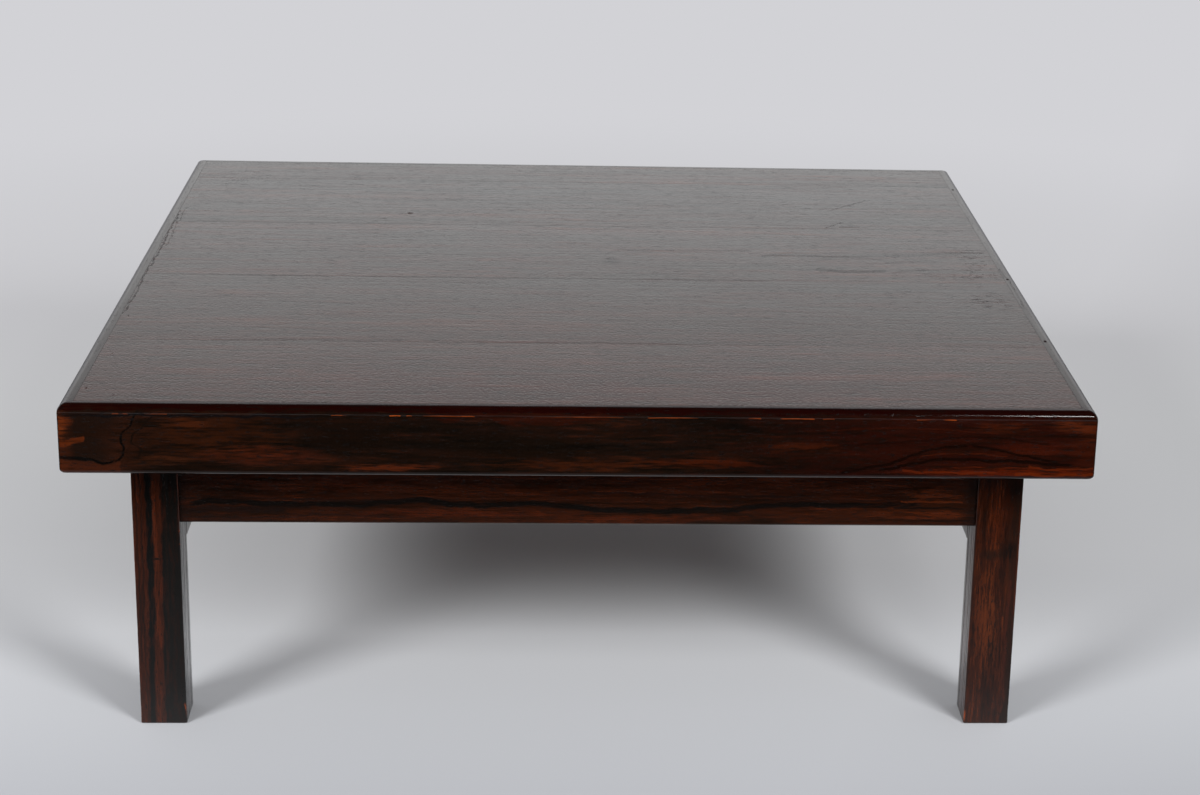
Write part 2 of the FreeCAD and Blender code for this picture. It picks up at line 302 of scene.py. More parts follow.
def off_line(tree, axes, plane, points):
    """How far a place lies over a drawn line, and a mask of where along its run the line is.

    The plane names the axis that the line runs along and then the one that it rises on.
    """
    run, rise = plane
    first, last = points[0][0], points[-1][0]
    low, high = min(p[1] for p in points) - 0.1, max(p[1] for p in points) + 0.1
    along = add(tree, "MapRange", (axes.outputs[run], first * mm, last * mm))
    drawn = add(tree, "FloatCurve", {"Value": along},
                curve=[((p[0] - first) / (last - first), (p[1] - low) / (high - low)) for p in points])
    level = add(tree, "MapRange", (drawn, 0.0, 1.0, low * mm, high * mm))
    over = add(tree, "Math SUBTRACT", (axes.outputs[rise], level))
    starts = add(tree, "MapRange", (along, 0.0, 0.03))
    ends = add(tree, "MapRange", (along, 0.97, 1.0, 1.0, 0.0))
    return over, add(tree, "Math MULTIPLY", (starts, ends))


def streak(tree, field, plane, points, width):
    """A streak of a width along a line drawn through points, in millimetres."""
    _, axes, feather = field
    over, lasts = off_line(tree, axes, plane, points)
    off = add(tree, "Math ABSOLUTE", (over,))
    mask = add(tree, "MapRange", (off, 0.25 * width * mm, 0.6 * width * mm, 1.0, 0.0))
    mask = add(tree, "Math MULTIPLY", (mask, lasts))
    return feathered(tree, mask, feather, 0.15, 0.8)


def beyond_line(tree, field, plane, points, softness):
    """All that lies over a drawn line, or under it if the softness is negative."""
    _, axes, feather = field
    over, lasts = off_line(tree, axes, plane, points)
    mask = add(tree, "MapRange", (over, 0.0, softness * mm))
    mask = add(tree, "Math MULTIPLY", (mask, lasts))
    return feathered(tree, mask, feather, 0.15, 1.0)


# Turns of the pattern that lay its grain, drawn along X, along the piece
grain_turns = {"x": (0, 0, 0), "y": (0, 0, math.radians(-90)), "z": (0, math.radians(90), 0)}


def lacquered_wood(name, grain, seed, tones, marks=(), scuffs=(), widths=(14, 4, 1.3), rings=11,
                   sway=1.2, gloss=0.13, arrises=None, worn="6A2A0C", bare_below=None,
                   planed=1.0, stipple=0.0):
    """Dark stained hardwood under polished lacquer.

    It gives the eye a near black mirror with a red-brown grain that glows through it.
    Bands, streaks and fibres of given widths in millimetres, drawn out along the grain, pick the
    colour from the tones, dark to light, and thin dark ring lines a spacing apart wander through
    them. Real fibres and pores are a few tenths of a millimetre wide, too fine to show, so they
    are drawn several times as wide. Marks are drawn over that, each a colour, a share and a shape
    with its settings. Scuffs are shapes where the lacquer is dull and a little sunk. Arrises,
    given as two corners and two axes, are rubbed through to the worn colour. Below a given height
    the wood is bare, as the plane left it. Planed is the share of the grain's relief that is
    left, and stipple the depth of the fine open pores.
    """
    wood = bpy.data.materials.new(name)
    wood.use_nodes = True
    tree = wood.node_tree
    shader = tree.nodes["Principled BSDF"]
    place = add(tree, "TexCoord").outputs["Object"]
    laid = add(tree, "Mapping", {"Vector": place, "Rotation": grain_turns[grain], "Location": seed})
    wobble = add(tree, "TexNoise", {"Vector": laid, "Scale": 1 / (16 * mm), "Detail": 3.0})
    drift = add(tree, "VectorMath SUBTRACT", (wobble.outputs["Color"], (0.5, 0.5, 0.5)))
    drift = add(tree, "VectorMath SCALE", {0: drift, "Scale": 5 * sway * mm})
    bent = add(tree, "VectorMath ADD", (place, drift))
    axes = add(tree, "SeparateXYZ", (bent,))

    # The grain: broad bands, streaks and fibres, each in its own share
    band_width, streak_width, fibre_width = [width * mm for width in widths]
    bands = fibre_noise(tree, laid, 18 * band_width, band_width, 3.0)
    streaks = fibre_noise(tree, laid, 15 * streak_width, streak_width, 3.0)
    fibres = fibre_noise(tree, laid, 11 * fibre_width, fibre_width)
    figure = add(tree, "Math MULTIPLY", (bands, 0.38))
    figure = add(tree, "Math MULTIPLY_ADD", (streaks, 0.3, figure))
    figure = add(tree, "Math MULTIPLY_ADD", (fibres, 0.32, figure))
    colour = add(tree, "ValToRGB", (add(tree, "MapRange", (figure, 0.37, 0.63)),),
                 stops=[(i / (len(tones) - 1), tone) for i, tone in enumerate(tones)])

    # Growth rings, counted across the grain, each darkest late in its year
    ring_step = (0, 0.7 / (rings * mm), 1 / (rings * mm))
    across = add(tree, "VectorMath DOT_PRODUCT", (laid, ring_step)).outputs["Value"]
    wander = fibre_noise(tree, laid, 300 * mm, 45 * mm, 4.0)
    counted = add(tree, "Math MULTIPLY_ADD", (wander, 7.0, across))
    phase = add(tree, "Math FRACT", (counted,))
    feather = add(tree, "MapRange", (add(tree, "Math ADD", (streaks, fibres)), 0.84, 1.16))
    darkens = add(tree, "MapRange", (phase, 0.55, 0.95))
    ends = add(tree, "MapRange", (phase, 0.95, 1.0, 1.0, 0.0))
    late = feathered(tree, add(tree, "Math MULTIPLY", (darkens, ends)), feather, 0.3, 1.2)
    late = add(tree, "Math MULTIPLY", (late, 0.6))
    colour = add(tree, "MixRGB", (late, colour, linear(tones[0])))

    field = (bent, axes, feather)
    for tint, share, shape, *settings in marks:
        mask = add(tree, "Math MULTIPLY", (shape(tree, field, *settings), share))
        colour = add(tree, "MixRGB", (mask, colour, linear(tint)))

    # Open pores, dark, dull and sunk
    pores = fibre_noise(tree, laid, 5 * fibre_width, 0.8 * fibre_width, 1.0)
    pores = add(tree, "MapRange", (pores, 0.61, 0.68, 0.0, 0.75))
    colour = add(tree, "MixRGB", (pores, colour, linear("0A0605")))
    rough = add(tree, "MapRange", (streaks, 0.35, 0.65, gloss - 0.03, gloss + 0.05))
    rough = add(tree, "Math MULTIPLY_ADD", (pores, 0.15, rough))
    sunk = add(tree, "Math MULTIPLY", (pores, -0.15))
    for share, shape, *settings in scuffs:
        mask = shape(tree, field, *settings)
        rough = add(tree, "Math MULTIPLY_ADD", (mask, share, rough))
        sunk = add(tree, "Math MULTIPLY_ADD", (mask, -share, sunk))

    if arrises:
        low, high, pair = arrises
        centred = add(tree, "VectorMath SUBTRACT", (place, (low + high) / 2))
        folded = add(tree, "VectorMath ABSOLUTE", (centred,))
        inside = add(tree, "VectorMath SUBTRACT", ((high - low) / 2, folded))
        sides = add(tree, "SeparateXYZ", (inside,))
        depth = add(tree, "Math MAXIMUM", (sides.outputs[pair[0]], sides.outputs[pair[1]]))
        near = add(tree, "MapRange", (depth, 0.2 * mm, 2.2 * mm, 1.0, 0.0))
        patchy = add(tree, "MapRange", (bands, 0.5, 0.62))
        rubbed = add(tree, "Math MULTIPLY", (near, patchy))
        colour = add(tree, "MixRGB", (rubbed, colour, linear(worn)))
    if bare_below:
        bare = add(tree, "SeparateXYZ", (place,)).outputs["Z"]
        bare = add(tree, "MapRange", (bare, bare_below - 0.5 * mm, bare_below, 1.0, 0.0))
        rough = add(tree, "Math MULTIPLY_ADD", (bare, 0.5, rough))
        raw = add(tree, "ValToRGB", (streaks,), stops=[(0.35, "3A2418"), (0.65, "5E402C")])
        colour = add(tree, "MixRGB", (bare, colour, raw))

    relief = add(tree, "Bump", {"Height": sunk, "Distance": 0.15 * mm})
    for ridges, depth in ((fibres, 0.016 * fibre_width), (streaks, 0.013 * streak_width)):
        relief = add(tree, "Bump", {"Height": ridges, "Distance": planed * depth, "Normal": relief})
    if stipple:
        dots = add(tree, "TexNoise", {"Vector": place, "Scale": 1 / (2.6 * mm), "Detail": 1.0})
        dots = add(tree, "MapRange", (dots, 0.3, 0.5))
        relief = add(tree, "Bump", {"Height": dots, "Distance": stipple, "Normal": relief})
    tree.links.new(colour.outputs[0], shader.inputs["Base Color"])
    tree.links.new(rough.outputs[0], shader.inputs["Roughness"])
    tree.links.new(relief.outputs[0], shader.inputs["Normal"])
    shader.inputs["IOR"].default_value = 1.54
    return wood


def front_left_leg():
    """The front left leg: post, tenon, mortises, and worn arrises."""
    leg = start_block("front_left_leg_post", leg_low, (leg_high.x, leg_high.y, slab_bottom))
    pick_edges(lambda a, b: abs(a.z - b.z) > leg_tenon or max(a.z, b.z) < leg_arris)
    bpy.ops.mesh.bevel(offset=leg_arris, segments=4, affect="EDGES")
    score(up, steps((0, slab_bottom), wear_step))
    flat = (leg_high - leg_low) / 2 - Vector((arris_zone, arris_zone, 0))
    pick_edges(lambda a, b: max(abs(v.x - leg_middle.x) for v in (a, b)) > flat.x
               and max(abs(v.y - leg_middle.y) for v in (a, b)) > flat.y)
    bpy.ops.object.vertex_group_assign_new()
    bpy.ops.object.mode_set(mode="OBJECT")
    feet = [v.index for v in leg.data.vertices if v.co.z < wear_step / 2]
    leg.vertex_groups[0].remove(feet)
    wear(leg, wear_depth, wear_size, leg.vertex_groups[0].name)
    bpy.ops.object.mode_set(mode="EDIT")
    tenon_x = [leg_middle.x + side * leg_tenon / 2 for side in (-1, 1)]
    tenon_y = [leg_middle.y + side * leg_tenon / 2 for side in (-1, 1)]
    apron_y = (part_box("front_apron")[0].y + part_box("front_apron")[1].y) / 2
    apron_x = (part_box("left_apron")[0].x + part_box("left_apron")[1].x) / 2
    half = tenon_thickness / 2 + joint_slack
    slot_y = (apron_y - half, apron_y + half)
    slot_x = (apron_x - half, apron_x + half)
    upper = (upper_tenon_levels[0] - joint_slack, upper_tenon_levels[1] + joint_slack)
    lower = (lower_tenon_levels[0] - joint_slack, lower_tenon_levels[1] + joint_slack)
    score(across_x, [*tenon_x, *slot_x])
    score(across_y, [*tenon_y, *slot_y])
    score(up, [*upper, *lower])
    pick_faces(lambda middle, normal: normal.z > facing and between(middle.x, tenon_x)
               and between(middle.y, tenon_y))
    pull((0, 0, leg_high.z - slab_bottom))
    pick_faces(lambda middle, normal: normal.x > facing and between(middle.y, slot_y)
               and between(middle.z, upper))
    pull((-mortise_depth, 0, 0))
    pick_faces(lambda middle, normal: normal.y > facing and between(middle.x, slot_x)
               and between(middle.z, lower))
    pull((0, -mortise_depth, 0))
    bpy.ops.object.mode_set(mode="OBJECT")
    carve(leg, merged_copy("leg_wedges"))
    carve(leg, merged_copy("apron_pegs"))
    return leg


def leg_wood(name, seed, signs, tones, marks):
    """The wood of a leg, whose stripes run up it."""
    low = Vector((leg_middle.x * signs[0] - (leg_high.x - leg_low.x) / 2,
                  leg_middle.y * signs[1] - (leg_high.y - leg_low.y) / 2, 0))
    high = Vector((low.x + leg_high.x - leg_low.x, low.y + leg_high.y - leg_low.y, 2 * slab_bottom))
    return lacquered_wood(name, "z", seed, tones, marks, side_scuffs, widths=(9, 2.4, 1.1),
                          arrises=(low, high, ("X", "Y")))


# Drawn marks are in millimetres. On the left leg they are black and red stripes, a crack across its
# front, and chips and dents at its arrises; on the right leg soft red patches between dark ends
left_leg_marks = (
    ("0C0A08", 1.0, beyond_line, "ZX", ((-5, -388.6), (50, -388.2), (120, -386.6), (200, -385.8),
     (280, -385.4)), 1.6),
    ("2C1409", 0.5, streak, "ZX", ((60, -382.5), (150, -380.6), (270, -380)), 1.8),
    ("1C0F09", 0.6, streak, "ZX", ((-5, -378), (90, -376.5), (190, -375)), 2.4),
    ("090807", 1.0, streak, "ZX", ((-5, -399.2), (50, -398.6), (110, -396.6), (190, -395.8),
     (280, -395.4)), 6.4),
    ("3A1707", 0.2, streak, "ZX", ((-5, -392), (60, -391.6), (150, -389.4), (280, -389)), 3.4),
    ("150C08", 0.7, streak, "ZX", ((-5, -404), (90, -404.6), (180, -403), (280, -403.6)), 1.8),
    ("150C08", 0.7, streak, "ZX", ((60, -408), (150, -407.2), (280, -408)), 1.6),
    ("0C0907", 0.9, streak, "XZ", ((-397, 166), (-382, 166.6), (-370, 166.2)), 2.4),
    ("0D0B09", 0.75, beyond_line, "ZX", ((-5, -386), (50, -385.6), (120, -384), (200, -383.2),
     (280, -382.8)), 2.4),
    ("8A3E18", 0.7, oval, (-368.6, -400, 13), (1.9, 5, 13)),
    ("8A3E18", 0.8, oval, (-368.6, -399.6, 194), (1.3, 3, 2.6)),
    ("8A3E18", 0.7, oval, (-368.6, -399.6, 181), (1.2, 3, 1.8)),
    ("0A0706", 0.9, oval, (-368.2, -397.4, 150), (2, 2.6, 5)),
    ("0A0706", 0.8, oval, (-368.2, -397.4, 172), (2, 2.2, 2.4)),
    ("A85A28", 1.0, oval, (-411, -400, 33), (1.8, 2.5, 2.2)),
    ("A85A28", 1.0, oval, (-411, -400, 28.6), (1.7, 2.5, 1.9)),
)
right_leg_marks = (
    ("461804", 0.4, oval, (388, -400, 212), (14, 10, 54)),
    ("5A280D", 0.5, oval, (384, -400, 108), (12, 10, 90)),
    ("50220B", 0.4, oval, (376, -400, 110), (10, 10, 84)),
    ("5A280D", 0.3, oval, (391, -400, 100), (8, 10, 64)),
    ("160C07", 0.8, beyond_line, "ZX", ((-5, 402), (100, 400), (200, 397), (280, 398)), 7),
    ("38150A", 0.6, streak, "ZX", ((10, 404), (80, 403), (150, 405)), 3.4),
    ("0B0705", 0.9, oval, (402, -400, 178), (13, 10, 16)),
    ("180E08", 0.7, oval, (384, -400, 174), (22, 10, 10)),
    ("0C0806", 0.85, oval, (404, -400, 240), (8, 10, 12)),
    ("140B07", 0.7, rising, "Z", 238, 262),
    ("8A3E18", 0.8, oval, (368.4, -400, 9), (3, 6, 10)),
)
# Dull lines on the side faces of the front legs, where the lacquer sank into open grain
side_scuffs = (
    (0.3, streak, "ZY", ((-5, -394), (100, -392.6), (200, -393.4), (280, -392)), 2.4),
    (0.25, streak, "ZY", ((-5, -383), (90, -384.6), (180, -383.4), (280, -384)), 3),
    (0.3, streak, "ZY", ((-5, -366), (110, -367.4), (190, -366), (280, -367)), 3.4),
)
# How each leg is mirrored, where its figure is taken from, its tones and its marks
leg_plan = {
    "front_left": ((1, 1, 1), (0.0, 0.0, 0.0), ("1A0904", "2B1006", "351508", "421A0A"), left_leg_marks),
    "front_right": ((-1, 1, 1), (0.3, 0.1, 0.2), ("0E0603", "260D04", "351405", "4E210A"), right_leg_marks),
    "back_left": ((1, -1, 1), (0.7, 0.4, 0.1), ("0E0704", "200C05", "301106", "421808"), ()),
    "back_right": ((-1, -1, 1), (1.3, 0.2, 0.6), ("0E0704", "220D05", "301106", "421808"), ()),
}
first_leg = front_left_leg()
legs = {name: mirrored_copy(first_leg, name + "_leg_post", plan[0]) for name, plan in leg_plan.items()}
bpy.data.objects.remove(first_leg)
for name, (signs, seed, tones, marks) in leg_plan.items():
    wood = leg_wood(name + " leg, lacquered striped hardwood", seed, signs, tones, marks)
    finish_piece(legs[name], name + "_leg", wood)

# Aprons. Four plain beams of the same hardwood, planed, set back a little from the legs' outer faces and
# flush with them inside. Each has a long tenon at both ends, glued into the legs, and a lower arris that
# was rounded by hand.

apron_arris = 1.6 * mm


def apron(node, along, levels):
    """A beam between two legs with a tenon at each end at the given levels."""
    low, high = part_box(node)
    side = across_y if along == across_x else across_x
    body_end = leg_high.dot(along)
    body_low = Vector(low)
    body_high = Vector(high)
    axis = 0 if along == across_x else 1
    body_low[axis] = body_end
    body_high[axis] = -body_end
    beam = start_block(node + "_beam", body_low, body_high)
    pick_edges(lambda a, b: max(a.z, b.z) < low.z + apron_arris and abs((a - b).dot(along)) > leg_tenon)
    bpy.ops.mesh.bevel(offset=apron_arris, segments=4, affect="EDGES")
    score(along, steps((body_end, -body_end), 2 * wear_step))
    middle = ((low + high) / 2).dot(side)
    cheeks = (middle - tenon_thickness / 2, middle + tenon_thickness / 2)
    score(side, cheeks)
    score(up, levels)
    for end, reach in ((-1, low[axis] - body_end), (1, high[axis] + body_end)):
        pick_faces(lambda middle, normal: normal.dot(along) * end > facing
                   and between(middle.dot(side), cheeks) and between(middle.z, levels))
        pull(along * reach)
    bpy.ops.object.mode_set(mode="OBJECT")
    carve(beam, merged_copy("corner_block_pins"))
    if axis == 1:
        carve(beam, merged_copy("apron_pegs"))
    return beam


# The drawn figure of the front apron: one long black vein between two redder bands, and painted shade at
# both ends, where the legs shade it
front_apron_marks = (
    ("140D09", 0.45, beyond_line, "XZ", ((-372, 215), (-340, 209), (-250, 204), (0, 203),
     (372, 203)), -2),
    ("441604", 0.45, oval, (-130, -396, 211), (170, 30, 8)),
    ("421604", 0.45, oval, (60, -396, 208), (180, 30, 7)),
    ("3C1706", 0.6, oval, (-190, -396, 238), (240, 30, 15)),
    ("3C1706", 0.5, oval, (190, -396, 241), (220, 30, 12)),
    ("090705", 0.95, streak, "XZ", ((-368, 216), (-326, 222), (-281, 219), (-213, 220), (-172, 222),
     (-145, 223.5), (-111, 220), (-54, 221), (-20, 219), (80, 215), (155, 218.5), (205, 222), (255, 221.5),
     (322, 223.5)), 6.4),
    ("140C09", 0.6, streak, "XZ", ((-372, 226), (-300, 225), (-200, 224), (-150, 226)), 2.4),
    ("140C09", 0.6, streak, "XZ", ((-30, 229), (60, 232), (140, 229), (215, 230)), 2.2),
    ("140C09", 0.65, streak, "XZ", ((120, 221), (200, 226), (260, 226), (315, 228)), 2),
    ("140C09", 0.6, streak, "XZ", ((-372, 208), (-300, 206), (-230, 209), (-160, 206)), 2),
    ("100B09", 0.75, streak, "XZ", ((-372, 213), (-330, 214), (-270, 213)), 7),
    ("5A2408", 0.45, oval, (326, -396, 233), (50, 30, 10)),
    ("511F08", 0.45, oval, (330, -396, 211), (50, 30, 10)),
    ("5E260A", 0.5, streak, "XZ", ((296, 225), (330, 225.6), (356, 225)), 2),
    ("0A0806", 0.85, streak, "XZ", ((290, 218), (330, 219.4), (358, 218.4)), 2),
    ("0A0806", 0.8, streak, "XZ", ((318, 207), (340, 206.4), (364, 207.4)), 1.8),
    # Painted shade at both ends of the apron, beside the legs
    ("100A07", 0.8, rising, "X", 350, 366),
    ("100A07", 0.7, rising, "X", -356, -368),
)
apron_tones = ("170A03", "250E04", "331304", "451A05")
for node, along, levels, grain, seed, marks in (
        ("front_apron", across_x, upper_tenon_levels, "x", (0.2, 0.5, 0.1), front_apron_marks),
        ("back_apron", across_x, upper_tenon_levels, "x", (0.6, 0.1, 0.8), ()),
        ("left_apron", across_y, lower_tenon_levels, "y", (0.3, 0.8, 0.4), ()),
        ("right_apron", across_y, lower_tenon_levels, "y", (0.1, 0.9, 0.7), ())):
    beam = apron(node, along, levels)
    wood = lacquered_wood(node + ", lacquered striped hardwood", grain, seed, apron_tones, marks,
                          widths=(9, 3, 1.1))
    finish_piece(beam, node, wood)

# Edge boards. Four boards of the figured wood wrapped round the planks, mitred at the corners, glued to
# the rim and grooved for the planks' tongues. Their outer edges were rounded with a plane and scraper
# after gluing, so the rounding wanders a little, and the lacquer has worn through along the arris.

top_radius = 8 * mm
bottom_radius = 4.5 * mm
corner_radius = 3 * mm
board_thickness = 13 * mm
tongue_length = 5 * mm
tongue_levels = (327 * mm, 333 * mm)
groove_slack = 0.4 * mm
joint_arris = 0.25 * mm
board_wear = 0.14 * mm
board_wear_size = 70 * mm
touch = 0.01 * mm
table_top = cad_high.z


def round_over(sign, radius, count=8):
    """Rounds the upper or lower edge of the whole top, by rings that rise and draw in."""
    pick_faces(lambda middle, normal: normal.z * sign > facing)
    half = Vector((cad_high.x, cad_high.y, 0))
    inset, rise = 0.0, 0.0
    for ring in range(1, count + 1):
        angle = math.radians(90) * ring / count
        next_inset = radius * (1 - math.cos(angle))
        next_rise = radius * math.sin(angle)
        pull((0, 0, sign * (next_rise - rise)))
        shrink = ((half.x - next_inset) / (half.x - inset), (half.y - next_inset) / (half.y - inset), 1)
        bpy.ops.transform.resize(value=shrink, center_override=(0, 0, 0))
        inset, rise = next_inset, next_rise


def saw(place, outward):
    """Saws the piece at a plane, closes the cut, and drops what lies outward."""
    bpy.ops.mesh.select_all(action="SELECT")
    bpy.ops.mesh.bisect(plane_co=place, plane_no=outward, use_fill=True, clear_outer=True)


def edge_board(form, name, side, run):
    """One board sawn from the form of the top: side points out of it and run along it."""
    board = mirrored_copy(form, name, (1, 1, 1))
    bpy.ops.object.mode_set(mode="EDIT")
    reach = abs(cad_high.dot(side))
    half_run = abs(cad_high.dot(run))
    inner = side * (reach - board_thickness)
    saw(inner, -side)
    for end in (-1, 1):
        saw(side * reach + run * end * half_run, run * end - side)
    mitre = half_run - reach
    pick_edges(lambda a, b: all(abs(v.dot(side) - inner.dot(side)) < touch for v in (a, b))
               or all(abs(abs(v.dot(run)) - v.dot(side) - mitre) < touch for v in (a, b)))
    bpy.ops.mesh.bevel(offset=joint_arris, segments=2, affect="EDGES")
    score(run, steps((-half_run + 2 * board_thickness, half_run - 2 * board_thickness), 2 * wear_step))
    groove = (tongue_levels[0] - joint_slack, tongue_levels[1] + joint_slack)
    score(up, groove)
    pick_faces(lambda middle, normal: normal.dot(side) < -facing and between(middle.z, groove))
    pull(side * (tongue_length + groove_slack))
    pick_edges(lambda a, b: all(abs(v.dot(run)) < half_run - 1.5 * board_thickness
                                and v.dot(side) > reach - top_radius - 10 * touch for v in (a, b)))
    bpy.ops.object.vertex_group_assign_new()
    bpy.ops.object.mode_set(mode="OBJECT")
    wear(board, board_wear, board_wear_size, board.vertex_groups[0].name)
    return board


form = start_block("top_form", (cad_low.x, cad_low.y, slab_bottom + bottom_radius),
                   (cad_high.x, cad_high.y, table_top - top_radius))
pick_edges(lambda a, b: abs(a.z - b.z) > top_radius)
bpy.ops.mesh.bevel(offset=corner_radius, segments=4, affect="EDGES")
round_over(1, top_radius)
round_over(-1, bottom_radius, 5)
bpy.ops.object.mode_set(mode="OBJECT")

# The drawn figure of the front board, in millimetres: a dark heart ringed by black contours at the left, a
# red lens under the rounding in the middle, arches at the right, orange where the lacquer wore off, and a
# painted dark reflection under the rounding at the left
front_board_marks = (
    ("2C1205", 0.75, oval, (-322, -475, 312), (110, 30, 42)),
    ("3C1806", 0.6, oval, (-349, -475, 323), (34, 30, 10)),
    ("44190A", 0.5, oval, (-285, -475, 295), (90, 30, 15)),
    ("381A0B", 0.6, oval, (-372, -475, 290), (50, 30, 9)),
    ("2E1409", 0.6, rising, "X", -382, -412),
    ("0B0603", 0.6, oval, (-206, -475, 314), (78, 30, 32)),
    ("4C1D08", 0.65, oval, (-171, -475, 284), (74, 30, 7)),
    ("0C0703", 0.55, oval, (-60, -475, 303), (140, 30, 26)),
    ("280902", 0.6, beyond_line, "XZ", ((-142, 333), (-134, 330), (-120, 325), (-100, 328),
     (-84, 328), (-66, 322), (-48, 322), (24, 328)), 3.4),
    ("3A1706", 0.55, oval, (0, -475, 288), (150, 30, 11)),
    ("441603", 0.5, oval, (105, -475, 290), (110, 30, 9)),
    ("240501", 0.6, rising, "X", 60, 300),
    ("3A1404", 0.5, oval, (196, -475, 306), (60, 30, 9)),
    ("521702", 0.5, oval, (375, -475, 283), (160, 30, 8)),
    ("441202", 0.25, oval, (405, -475, 305), (64, 30, 12)),
    ("5A2208", 0.25, oval, (374, -475, 325), (50, 30, 9)),
    ("642A0E", 0.3, oval, (438, -475, 328), (34, 30, 10)),
    ("120602", 0.6, oval, (369, -475, 315), (24, 30, 6)),
    ("742A04", 0.25, streak, "XZ", ((386, 282), (430, 280.6), (459, 281.4)), 3),
    ("5A1E04", 0.45, streak, "XZ", ((398, 288.4), (436, 286.6), (459, 288)), 2.2),
    ("5A1E04", 0.35, streak, "XZ", ((284, 284), (330, 282.6), (372, 284)), 2.4),
    ("080301", 0.8, streak, "XZ", ((228, 281), (265, 288.7), (301, 301), (319, 306), (345, 308)), 3),
    ("080301", 0.8, streak, "XZ", ((346, 309), (368, 305), (392, 299), (427, 293.5)), 2.8),
    ("080301", 0.8, streak, "XZ", ((262, 284), (288, 289.6), (304, 292.6), (325, 295.7), (364, 294.3),
     (411, 292), (440, 290.6)), 3),
    ("080301", 0.5, streak, "XZ", ((180, 300), (240, 308), (300, 313), (350, 316), (420, 310)), 2.2),
    ("4A1804", 0.3, streak, "XZ", ((300, 297.6), (340, 301), (380, 297.4)), 1.4),
    ("521A04", 0.3, streak, "XZ", ((330, 288), (390, 287.4), (440, 286)), 1.2),
    ("3A1002", 0.3, streak, "XZ", ((210, 322), (290, 324), (352, 321)), 1.4),
    ("3C1405", 0.25, oval, (457, -475, 306), (36, 30, 46)),
    ("5A2307", 0.25, oval, (457, -475, 322), (20, 30, 16)),
    ("120B07", 0.8, beyond_line, "ZX", ((284, -412), (287, -410), (294, -404), (299, -403), (306, -405),
     (314, -404), (320, -398), (328, -394), (337, -388)), -26),
    ("070504", 1.0, streak, "ZX", ((287, -411), (294, -404), (299, -403), (306, -405), (314, -404),
     (320, -398), (328, -394), (336, -389)), 2.4),
    ("070504", 1.0, streak, "XZ", ((-460, 292), (-434, 290), (-427, 287.5), (-420, 286),
     (-411, 289)), 2.2),
    ("0F0805", 0.85, streak, "ZX", ((290, -391), (299, -388), (306, -396), (320, -386),
     (333, -375)), 2),
    ("3A180A", 0.6, beyond_line, "XZ", ((-462, 291), (-434, 289), (-420, 285), (-405, 290)), -2),
    ("4A1E0A", 0.4, rising, "X", -444, -460),
    ("7A3510", 0.45, oval, (-459, -475, 319), (13, 30, 20)),
    ("6A2A08", 0.3, oval, (-453, -475, 326), (15, 30, 9)),
    ("6A2A08", 0.38, streak, "XZ", ((-459, 303.4), (-450, 305.8), (-436, 309.4)), 6),
    ("080605", 0.85, streak, "XZ", ((-463, 291.8), (-450, 291.2), (-434, 290)), 3.2),
    # A painted reflection: the dark room in front, mirrored as a bluish-black line under the rounding at
    # the left
    ("0B090A", 0.9, streak, "XZ", ((-458, 331.6), (-430, 331), (-380, 331.6), (-330, 330.6),
     (-300, 331.4), (-230, 331)), 2.6),
)
# The lacquer lies thick and deep red on the rounding and over the board's top. On the rounding its darkness
# is also a painted reflection of the dark room in front
pooled_lacquer_and_painted_reflection = ("150100", 0.95, rising, "Z", 334.2, 336.0)
# Where along the front arris, in millimetres, the wood shows through, and how much
worn_spans = ((-412, -398, 0.3), (-384, -364, 0.3), (-222, -208, 0.9), (-171, -161, 0.9),
              (-156, -151, 0.8), (-142, -108, 0.6), (-108, -96, 0.5), (-46, 36, 0.25),
              (56, 102, 0.45), (146, 157, 0.5), (174, 205, 0.7), (212, 223, 0.45),
              (296, 318, 0.3), (316, 332, 0.65))
worn_level = 332.3
worn_width = 0.95


def worn_line(tree, field, span):
    """A worn stretch of the front arris, where the lacquer is rubbed through to the wood in specks."""
    first, last = span
    place = add(tree, "TexCoord").outputs["Object"]
    straight = (place, add(tree, "SeparateXYZ", (place,)), field[2])
    points = ((first, worn_level), ((first + last) / 2, worn_level + 0.2), (last, worn_level))
    line = streak(tree, straight, "XZ", points, worn_width)
    rubs = add(tree, "Mapping", {"Vector": place, "Scale": [1 / (size * mm) for size in (24, 3, 3)]})
    rubs = add(tree, "TexNoise", {"Vector": rubs, "Scale": 1.0, "Detail": 1.0})
    return add(tree, "Math MULTIPLY", (line, add(tree, "MapRange", (rubs, 0.32, 0.56))))


front_board_marks += (pooled_lacquer_and_painted_reflection,)
front_board_marks += tuple(("8E3C08", share, worn_line, (first, last)) for first, last, share in worn_spans)
board_tones = ("090604", "110905", "1A0C06", "2D1207")
# Which way each board faces and runs, its grain, where its figure is taken from, and its marks
board_plan = {
    "front_edge_board": (-across_y, across_x, "x", (0.4, 0.15, 0.3), front_board_marks),
    "back_edge_board": (across_y, across_x, "x", (0.8, 0.45, 0.1), (pooled_lacquer_and_painted_reflection,)),
    "left_edge_board": (-across_x, across_y, "y", (0.2, 0.65, 0.9), (pooled_lacquer_and_painted_reflection,)),
    "right_edge_board": (across_x, across_y, "y", (0.5, 0.25, 0.6), (pooled_lacquer_and_painted_reflection,)),
}
# A crack in the lacquer beside the joint at the right end of the top
right_crack = (0.09, streak, "YX", ((-150, 448.8), (-102, 450.4), (-42, 451.4), (-14, 448.6),
               (14, 448.4)), 3)
# Pits along the joint at the right end of the top: each one's place along Y and its reach in X and Y, in
# millimetres
right_pits = ((-256, 1.7, 3.4), (-32, 1.6, 2.6), (366, 1.6, 3.0))
pit_x = 450.5 * mm
pit_depth = 0.9


def pit(y, reach_x, reach_y):
    """A small shallow pit in the top, where a splinter of the joint broke out."""
    bpy.ops.mesh.primitive_ico_sphere_add(subdivisions=2, radius=mm, location=(pit_x, y * mm, table_top),
                                          scale=(reach_x, reach_y, pit_depth))
    bpy.ops.object.transform_apply(location=True, rotation=True, scale=True)
    return bpy.context.object


